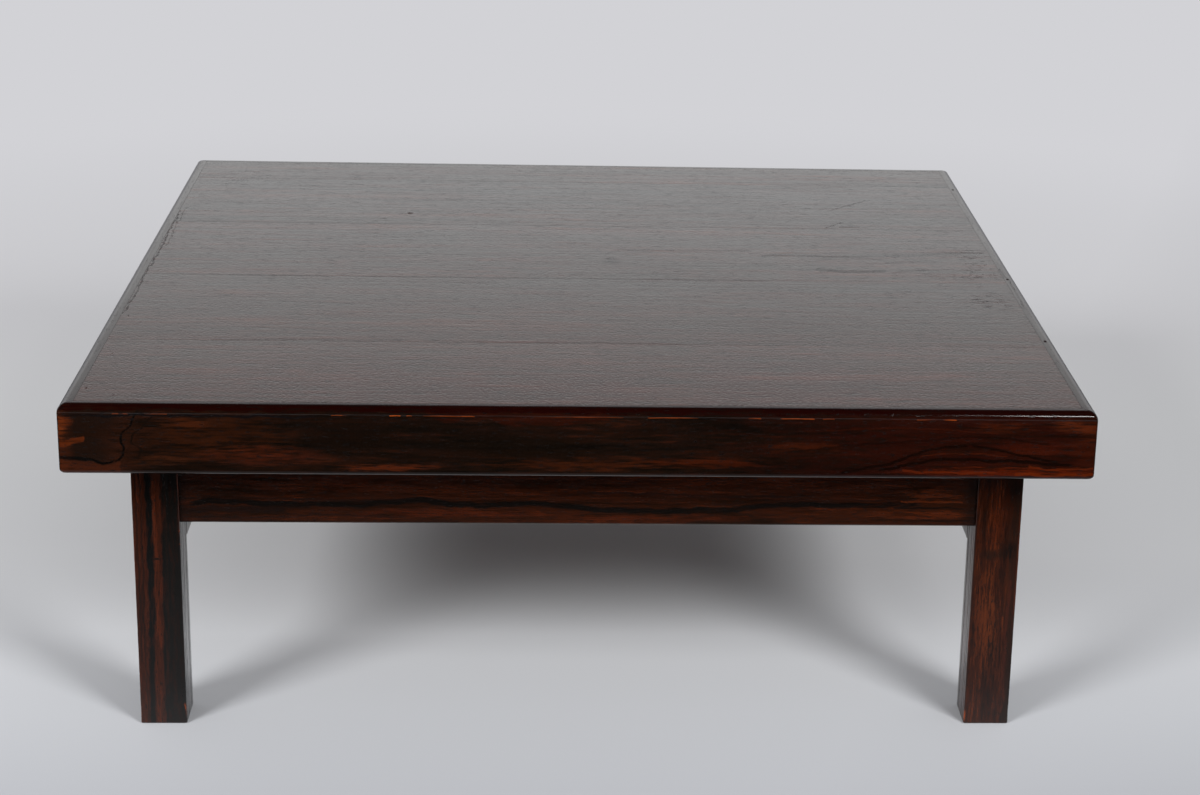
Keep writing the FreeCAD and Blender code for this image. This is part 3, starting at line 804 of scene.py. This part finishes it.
for node, (side, run, grain, seed, marks) in board_plan.items():
    board = edge_board(form, node + "_wrap", side, run)
    if side == across_x:
        for y, reach_x, reach_y in right_pits:
            carve(board, pit(y, reach_x, reach_y))
    wood = lacquered_wood(node + ", lacquered figured hardwood", grain, seed, board_tones, marks,
                          (right_crack,) if side == across_x else (), widths=(13, 4.2, 1.7))
    finish_piece(board, node, wood)
bpy.data.objects.remove(form)

# Planks. Five boards edge to edge, each with a tongue at its back edge and ends, and slots underneath for
# the battens' dovetailed ridges. Their top was planed flat, stained near black and polished, and shows a
# fine straight grain, hairlines at the joints, and small dents and pits.

batten_boxes = [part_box(side + "_batten") for side in ("left", "middle", "right")]
batten_x = [((low + high) / 2).x for low, high in batten_boxes]
ridge_height = 6.15 * mm
ridge_root = 10.15 * mm
ridge_crest = 13.15 * mm
bare_height = 3 * mm
pore_depth = 0.05 * mm


def plank(node):
    """One plank with its tongues, its groove and the slots for the battens."""
    low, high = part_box(node)
    first = node == "front_plank"
    body_low = Vector((low.x + tongue_length, low.y + (tongue_length if first else 0), low.z))
    body_high = Vector((high.x - tongue_length, high.y - tongue_length, high.z))
    board = start_block(node + "_board", body_low, body_high)
    pick_edges(lambda a, b: min(a.z, b.z) > high.z - touch)
    bpy.ops.mesh.bevel(offset=joint_arris, segments=2, affect="EDGES")
    score(up, tongue_levels)
    pick_faces(lambda middle, normal: normal.y > facing and between(middle.z, tongue_levels))
    pull((0, tongue_length, 0))
    if first:
        pick_faces(lambda middle, normal: normal.y < -facing and between(middle.z, tongue_levels))
        pull((0, -tongue_length, 0))
    for end in (-1, 1):
        pick_faces(lambda middle, normal: normal.x * end > facing and between(middle.z, tongue_levels)
                   and between(middle.y, (body_low.y, body_high.y)))
        pull((end * tongue_length, 0, 0))
    bpy.ops.object.mode_set(mode="OBJECT")
    over = 10 * mm
    for x in batten_x:
        cutter = start_block("ridge_slot", (x - ridge_root, low.y - over, low.z),
                             (x + ridge_root, high.y + over, low.z + ridge_height))
        pick_faces(lambda middle, normal: normal.z > facing)
        bpy.ops.transform.resize(value=(ridge_crest / ridge_root, 1, 1),
                                 center_override=(x, 0, low.z + ridge_height))
        pick_faces(lambda middle, normal: normal.z < -facing)
        pull((0, 0, -over))
        bpy.ops.object.mode_set(mode="OBJECT")
        carve(board, cutter)
    if not first:
        cutter = start_block("groove", (low.x - over, low.y - over, tongue_levels[0] - joint_slack),
                             (high.x + over, low.y + tongue_length + groove_slack,
                              tongue_levels[1] + joint_slack))
        bpy.ops.object.mode_set(mode="OBJECT")
        carve(board, cutter)
    return board


def crazed(tree, field, middle, reach):
    """A patch where the lacquer crazed and lifted along fine wandering lines."""
    scale = [1 / (size * mm) for size in (15, 12, 12)]
    lifted = add(tree, "Mapping", {"Vector": field[0], "Scale": scale})
    lifted = add(tree, "TexNoise", {"Vector": lifted, "Scale": 1.0, "Detail": 3.0})
    lifted = add(tree, "Math ABSOLUTE", (add(tree, "Math SUBTRACT", (lifted, 0.5)),))
    lines = add(tree, "MapRange", (lifted, 0.01, 0.06, 1.0, 0.0))
    return add(tree, "Math MULTIPLY", (oval(tree, field, middle, reach), lines))


# The two sides of a growth ring that shows in the middle plank, in millimetres
ring_above = ((190, 44), (213, 55), (232, 56), (265, 50), (298, 52), (326, 56), (356, 60), (395, 68),
              (446, 76))
ring_hook = ((182, 30), (188, 19), (197, 15), (212, 11))
ring_below = ((250, 1), (269, -6), (286, -9), (310, -8), (326, -4))
ring_end = ((328, -15), (340, -7), (354, -3), (382, -2))
# A crack along the joint at the left end, which crosses three of the planks
crack_mark = ("0B0807", 0.5, streak, "YX", ((-190, -446), (-90, -444.6), (10, -445.4), (110, -444.8),
              (215, -446)), 2.2)
crack_scuffs = (
    (0.2, streak, "YX", ((-196, -446.4), (-120, -444.6), (-40, -445.6), (40, -444.4), (120, -445.6),
     (222, -446.4)), 2.4),
    (0.12, streak, "YX", ((60, -441), (110, -439.6), (170, -442), (236, -440.6)), 2),
)
# The planks grow redder toward the front of the table
redder_forward = ("3C160C", 0.5, rising, "Y", 200, -420)
# Where each plank's figure is taken from, its lighter tones, its drawn marks, and its dull spots
plank_plan = {
    "front_plank": ((0.3, 0.7, 0.5), ("180E0A", "34120A", "5E3020"), (
        ("4A1C0C", 0.7, oval, (340, -368, 340), (50, 14, 30)),
    ), (
        (0.3, oval, (-441, -427, 340), (2, 5, 30)),
        (0.3, oval, (-415, -446, 340), (2.4, 4, 30)),
        (0.25, oval, (-436, -322, 340), (2, 5, 30)),
    )),
    "second_plank": ((0.6, 0.2, 0.8), ("140C09", "2A0F0A", "522A1C"), (crack_mark,), crack_scuffs + (
        (0.3, oval, (-439, -197, 340), (2.4, 5, 30)),
        (0.3, oval, (-446, -190, 340), (2.2, 4.5, 30)),
        (0.16, crazed, (420, -124, 340), (52, 70, 30)),
        (0.08, crazed, (310, -100, 340), (110, 50, 30)),
        (0.12, streak, "XY", ((-360, -48), (-200, -49), (-60, -50), (60, -49), (200, -48)), 4),
        (0.12, streak, "XY", ((-354, -276), (-240, -274), (-100, -275), (100, -276)), 4),
    )),
    "middle_plank": ((0.9, 0.3, 0.2), ("1A0F0B", "361411", "643826"), (
        crack_mark,
        ("120C0A", 0.7, oval, (34, 25, 340), (17, 27, 30)),
        ("120C0A", 0.6, streak, "XY", ring_above, 13),
        ("120C0A", 0.6, streak, "XY", ring_below, 12),
    ), crack_scuffs + (
        (0.08, oval, (34, 25, 340), (20, 32, 30)),
        (0.05, streak, "XY", ring_above, 22),
        (0.05, streak, "XY", ring_above, 9),
        (0.08, streak, "XY", ring_hook, 9),
        (0.09, streak, "XY", ring_below, 12),
        (0.08, streak, "XY", ring_end, 9),
        (0.07, streak, "XY", ((326, 28), (350, 33), (386, 35)), 10),
        (0.09, streak, "XY", ((40, 70), (120, 71), (184, 70)), 6),
        (0.12, oval, (178, 75, 340), (24, 8, 30)),
        (0.14, crazed, (426, 30, 340), (46, 100, 30)),
        (0.1, crazed, (400, -20, 340), (90, 40, 30)),
    )),
    "fourth_plank": ((0.1, 0.5, 0.4), ("150C09", "2C100C", "562C1D"), (crack_mark,), crack_scuffs + (
        (0.3, oval, (-188, 219, 340), (7, 9, 30)),
        (0.15, streak, "XY", ((287, 250), (340, 309)), 3.4),
        (0.15, streak, "XY", ((277, 175), (299, 203)), 3.4),
        (0.15, streak, "XY", ((294, 180), (318, 180)), 5),
        (0.12, crazed, (-410, 366, 340), (40, 50, 30)),
    )),
    "back_plank": ((0.8, 0.9, 0.6), ("180E0A", "32110C", "5C3020"), (), ()),
}
for node, (seed, tones, marks, scuffs) in plank_plan.items():
    back_joint = (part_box(node)[1].y - tongue_length) / mm
    # Dirt lies in the joint behind each plank
    dirt = ("040303", 0.8, rising, "Y", back_joint - 2.2, back_joint - 0.6)
    wood = lacquered_wood(node + ", lacquered hardwood", "x", seed, ("060404", *tones),
                          (redder_forward, *marks, dirt), scuffs, widths=(24, 7, 2.4), rings=34,
                          sway=1.8, gloss=0.12, bare_below=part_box(node)[0].z + bare_height,
                          planed=0.75, stipple=pore_depth)
    finish_piece(plank(node), node, wood)

# Inner frame. Rim rails, battens and corner blocks of a paler hardwood, planed and wiped with stain, but
# not polished, because nobody sees them. The corner blocks are glued and pinned with split bamboo.


def planed_wood(name, grain, pale, dark):
    """Planed timber, bare or wiped with stain.

    It gives the eye a matt face with soft bands along the grain and short dark flecks, which are
    drawn a few times as wide as real fibres, so that they show.
    """
    wood = bpy.data.materials.new(name)
    wood.use_nodes = True
    tree = wood.node_tree
    shader = tree.nodes["Principled BSDF"]
    place = add(tree, "TexCoord").outputs["Object"]
    laid = add(tree, "Mapping", {"Vector": place, "Rotation": grain_turns[grain]})
    bands = fibre_noise(tree, laid, 300 * mm, 9 * mm, 3.0)
    bands = add(tree, "MapRange", (bands, 0.35, 0.65))
    fibres = fibre_noise(tree, laid, 30 * mm, 0.8 * mm)
    flecks = add(tree, "MapRange", (fibres, 0.3, 0.7, 0.5, 1.0))
    share = add(tree, "Math MULTIPLY", (bands, flecks))
    colour = add(tree, "ValToRGB", (share,), stops=[(0.0, dark), (1.0, pale)])
    rough = add(tree, "MapRange", (fibres, 0.3, 0.7, 0.55, 0.75))
    relief = add(tree, "Bump", {"Height": fibres, "Distance": 0.1 * mm, "Strength": 0.6})
    tree.links.new(colour.outputs[0], shader.inputs["Base Color"])
    tree.links.new(rough.outputs[0], shader.inputs["Roughness"])
    tree.links.new(relief.outputs[0], shader.inputs["Normal"])
    shader.inputs["IOR"].default_value = 1.5
    return wood


def paint_node(node, wood):
    """Gives a CAD node's object a wood in all its material slots."""
    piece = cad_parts[node]
    if not piece.material_slots:
        piece.data.materials.append(wood)
    for slot in piece.material_slots:
        slot.material = wood


inner_wood = {grain: planed_wood("planed hardwood, grain along " + grain, grain, "6A4630", "3E2417")
              for grain in ("x", "y", "z")}
for node in ("front_rim_rail", "back_rim_rail"):
    paint_node(node, inner_wood["x"])
for node in ("left_rim_rail", "right_rim_rail", "left_batten", "middle_batten", "right_batten"):
    paint_node(node, inner_wood["y"])
for node in ("front_left", "front_right", "back_left", "back_right"):
    paint_node(node + "_corner_block", inner_wood["z"])
# Split bamboo stands out straw yellow against the blocks
bamboo = planed_wood("split bamboo", "x", "B08A56", "7E5B34")
paint_node("corner_block_pins", bamboo)

# Pegs and wedges. Round pegs whittled from the table's own dark wood, driven through the tenons and cut
# flush, and flat wedges that spread the legs' tenons in the rim.

# The cut pegs show as small dull discs in the polish
peg_wood = planed_wood("peg hardwood", "z", "3A2116", "1C100B")
for node in ("apron_pegs", "rim_pegs", "batten_pegs", "leg_wedges"):
    paint_node(node, peg_wood)

# Floor, light and camera. Plain pale studio paper under the table, two large soft lamps in front of it to
# the left and right, a small weak one for the glint on the front edge, and a paler wall behind, which the
# polished top mirrors.

floor_size = 80
bpy.ops.object.select_all(action="DESELECT")
bpy.ops.mesh.primitive_plane_add(size=floor_size)
floor = bpy.context.object
floor.name = "floor"
# Matt paper gives the eye a pale ground without shine. Its colour carries painted shade: darker close to
# the camera and toward the right, and paler beyond the table. Its speckle is drawn coarser than paper
# fibres, so that it shows
paper = bpy.data.materials.new("pale matt paper")
paper.use_nodes = True
tree = paper.node_tree
shader = tree.nodes["Principled BSDF"]
shader.inputs["Roughness"].default_value = 0.9
shader.inputs["Specular IOR Level"].default_value = 0.0
place = add(tree, "TexCoord").outputs["Object"]
axes = add(tree, "SeparateXYZ", (place,))
# Painted shade: the paper is darker close to the camera and paler beyond the table
depth = add(tree, "MapRange", (axes.outputs["Y"], -0.6, 1.0))
paler = add(tree, "ValToRGB", (depth,), stops=[(0.0, "BDBFC4"), (0.14, "D2D4D8"), (0.4, "ECEDEF"),
                                               (0.7, "F0F1F2"), (1.0, "F0F0F2")])
speckle = add(tree, "TexNoise", {"Vector": place, "Scale": 1 / (1.1 * mm), "Detail": 2.0})
speckle = add(tree, "MapRange", (speckle, 0.3, 0.7, 0.985, 1.015))
# Painted shade: the paper and the backdrop grow dimmer toward the right
rightward = add(tree, "VectorMath DOT_PRODUCT", (place, (1, -0.35, 0))).outputs["Value"]
painted_side_shade = add(tree, "MapRange", (rightward, 0.4, 0.75, 1.0, 0.89))
shade = add(tree, "Math MULTIPLY", (speckle, painted_side_shade))
paler = add(tree, "VectorMath SCALE", {0: paler, "Scale": shade})
tree.links.new(paler.outputs[0], shader.inputs["Base Color"])
# In the lacquer the paper beside and before the table is darker, so that the wood keeps its own colour
path = add(tree, "LightPath")
sideways = add(tree, "Math ABSOLUTE", (axes.outputs["X"],))
forward = add(tree, "Math MULTIPLY", (axes.outputs["Y"], -1.0))
outward = add(tree, "Math MAXIMUM", (sideways, forward))
close_by = add(tree, "MapRange", (outward, 0.36, 0.5, 0.0, 0.5))
beyond = add(tree, "MapRange", (outward, 0.5, 1.0, 0.0, 0.5))
unlit = add(tree, "Math ADD", (close_by, beyond))
unlit = add(tree, "Math MULTIPLY", (unlit, path.outputs["Is Glossy Ray"]))
away = add(tree, "VectorMath LENGTH", (place,)).outputs["Value"]
unlit = add(tree, "Math MULTIPLY", (unlit, add(tree, "MapRange", (away, 2.0, 3.5, 1.0, 0.0))))
dark_room = add(tree, "Emission", (linear("0E0E0F"),))
mixed = add(tree, "MixShader", (unlit, shader, dark_room))
# Far off the camera sees the paper rise into an even backdrop, dimmed toward the right by the same painted
# shade
far_paper = add(tree, "Emission", (linear("D2D2D6"), painted_side_shade))
far = add(tree, "MapRange", (away, 0.9, 2.4), interpolation_type="SMOOTHSTEP")
faded = add(tree, "Math MULTIPLY", (far, path.outputs["Is Camera Ray"]))
mixed = add(tree, "MixShader", (faded, mixed, far_paper))
tree.links.new(mixed.outputs[0], tree.nodes["Material Output"].inputs["Surface"])
floor.data.materials.append(paper)

# The room: an even pale grey to the camera, and in the lacquer a white wall behind the table, brightest
# straight back and low down, which fades upward and to the sides
world = bpy.data.worlds.new("studio")
bpy.context.scene.world = world
world.use_nodes = True
tree = world.node_tree
looking = add(tree, "SeparateXYZ", (add(tree, "TexCoord").outputs["Generated"],))
behind = add(tree, "MapRange", (looking.outputs["Y"], 0.1, 0.7))
wall = add(tree, "ValToRGB", (looking.outputs["Z"],),
           stops=[(0.0, "B8B8BC"), (0.12, "DCDCE0"), (0.18, "FBFBFB"), (0.24, "F9F9F9"), (0.287, "DCDCDC"),
                  (0.31, "BAB9B9"), (0.43, "6A6A6E"), (0.6, "2A2A2C"), (1.0, "101012")])
aside = add(tree, "Math SUBTRACT", (looking.outputs["X"], 0.015))
aside = add(tree, "Math ABSOLUTE", (aside,))
aside = add(tree, "MapRange", (aside, 0.16, 0.29, 1.0, 0.79))
wall = add(tree, "VectorMath SCALE", {0: wall, "Scale": aside})
mirrored = add(tree, "MixRGB", (behind, linear("18181A"), wall))
path = add(tree, "LightPath")
seen = add(tree, "MixRGB", (path.outputs["Is Camera Ray"], linear("A2A2A4"), linear("D2D2D6")))
seen = add(tree, "MixRGB", (path.outputs["Is Glossy Ray"], seen, mirrored))
tree.links.new(seen.outputs[0], tree.nodes["Background"].inputs["Color"])

# Each lamp's azimuth and height in degrees, its distance and width in metres, its power in watts, and
# whether it shows in the lacquer. The two big ones would blot out the top in a view from behind. The small
# one gives the glint on the front edge
lamps = ((-40.5, 27.8, 5.14, 1.77, 151, False), (33.8, 25.8, 4.04, 1.23, 93, False),
         (25, 40, 3.0, 0.3, 4, True))
lamp_aim = Vector((0, 0, 0.2))
for azimuth, height, distance, width, power, shines in lamps:
    azimuth, height = math.radians(azimuth), math.radians(height)
    toward = Vector((math.sin(azimuth) * math.cos(height), -math.cos(azimuth) * math.cos(height),
                     math.sin(height)))
    bpy.ops.object.light_add(type="AREA", location=toward * distance + lamp_aim)
    lamp = bpy.context.object
    lamp.data.shape = "DISK"
    lamp.data.size = width
    lamp.data.energy = power
    lamp.rotation_euler = toward.to_track_quat("Z", "Y").to_euler()
    lamp.visible_glossy = shines

# The camera's place, turn and lens, solved from the photo's edge lines. The photo's width, its optical
# middle and the focal length are in its pixels
yaw, pitch, roll = 0.06697, 0.31676, 0.02909
photo_width = 1200
optical_middle = 714.8
focal_length = 2607.1
sensor_width = 36
bpy.ops.object.camera_add(location=(-31.2 * mm, -2659.3 * mm, 1069.5 * mm))
camera = bpy.context.object
forward = Vector((math.sin(yaw) * math.cos(pitch), math.cos(yaw) * math.cos(pitch), -math.sin(pitch)))
level = Vector((math.cos(yaw), -math.sin(yaw), 0))
upright = level.cross(forward)
right = math.cos(roll) * level + math.sin(roll) * upright
top = -math.sin(roll) * level + math.cos(roll) * upright
camera.rotation_euler = Matrix((right, top, -forward)).transposed().to_euler()
camera.data.sensor_width = sensor_width
camera.data.lens = focal_length / photo_width * sensor_width
camera.data.shift_x = (photo_width / 2 - optical_middle) / photo_width
bpy.context.scene.camera = camera
bpy.context.scene.view_settings.view_transform = "Standard"
